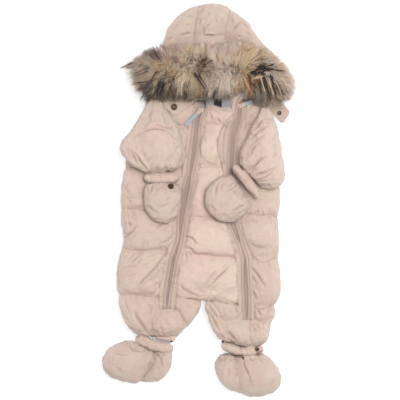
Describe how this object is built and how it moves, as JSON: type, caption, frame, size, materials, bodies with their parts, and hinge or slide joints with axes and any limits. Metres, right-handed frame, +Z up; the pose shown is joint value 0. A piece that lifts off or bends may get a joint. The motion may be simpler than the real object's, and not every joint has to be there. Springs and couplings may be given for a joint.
{
  "type": "baby snowsuit",
  "caption": "Padded all-in-one baby snowsuit laid flat, with fur-trimmed hood, long front zips, and mittens and booties that button on.",
  "frame": {"origin": "middle of the laid-out suit on the surface it lies on", "axes": "+X to the right of someone looking down on the front, +Y towards the hood, +Z up from the surface"},
  "size_m": [0.3866, 0.7805, 0.0951],
  "materials": {
    "shell": "satin",
    "facing": "satin",
    "zip": "matte",
    "lining": "matte",
    "label": "matte",
    "fur": "matte",
    "reflective": "satin",
    "enamel": "gloss",
    "bronze": "dark antique"
  },
  "bodies": {
    "root": {"ankle_cuff_left": "shell", "ankle_cuff_right": "shell", "ankle_hem_left": "lining", "back_leg_left": "shell", "back_leg_right": "shell", "back_torso": "shell", "bootie_left_heel": "shell", "bootie_left_toe": "shell", "bootie_right_heel": "shell", "bootie_right_toe": "shell", "chest_panel": "shell", "collar_centre": "shell", "front_centre": "shell", "front_left": "shell", "front_right": "shell", "fur_trim": "fur", "hood_back": "shell", "hood_crown": "shell", "hood_side_left": "shell", "hood_side_right": "shell", "hood_tab_left": "shell", "hood_tab_right": "shell", "knee_patch": "shell", "leg_left_inner": "shell", "leg_right_gusset": "shell", "leg_right_inner": "shell", "mitten_cuff_left": "shell", "mitten_cuff_right": "shell", "mitten_left_top": "shell", "mitten_left_under": "shell", "mitten_right_top": "shell", "mitten_right_under": "shell", "neck_label": "label", "neck_lining": "lining", "pocket_welt_left": "facing", "shin_right_inner": "shell", "shin_right_outer": "shell", "sleeve_left_top": "shell", "sleeve_left_under": "shell", "sleeve_right_top": "shell", "sleeve_right_under": "shell", "slider_left": "enamel", "slider_right": "enamel", "snap_ankle_right": "bronze", "snap_bootie_right": "bronze", "snap_mitten_left": "bronze", "snap_tab_left": "bronze", "snap_tab_right": "bronze", "zip_left_facing_inner": "facing", "zip_left_facing_outer": "facing", "zip_left_tape": "zip", "zip_right_facing_inner": "facing", "zip_right_facing_outer": "facing", "zip_right_tape": "zip"},
    "pull_left": {"pull_left_frame": "enamel", "pull_left_grip": "reflective"},
    "pull_right": {"pull_right_frame": "enamel", "pull_right_grip": "reflective"}
  },
  "joints": [
    {"name": "pull_left_lift", "type": "hinge", "parent": "root", "child": "pull_left", "pos_m": [0.0018, 0.18, 0.0444], "axis": [-0.7071, 0.7071, 0], "range_deg": [0, 120]},
    {"name": "pull_right_lift", "type": "hinge", "parent": "root", "child": "pull_right", "pos_m": [0.0802, 0.188, 0.0444], "axis": [0.342, -0.9397, 0], "range_deg": [0, 120]}
  ]
}
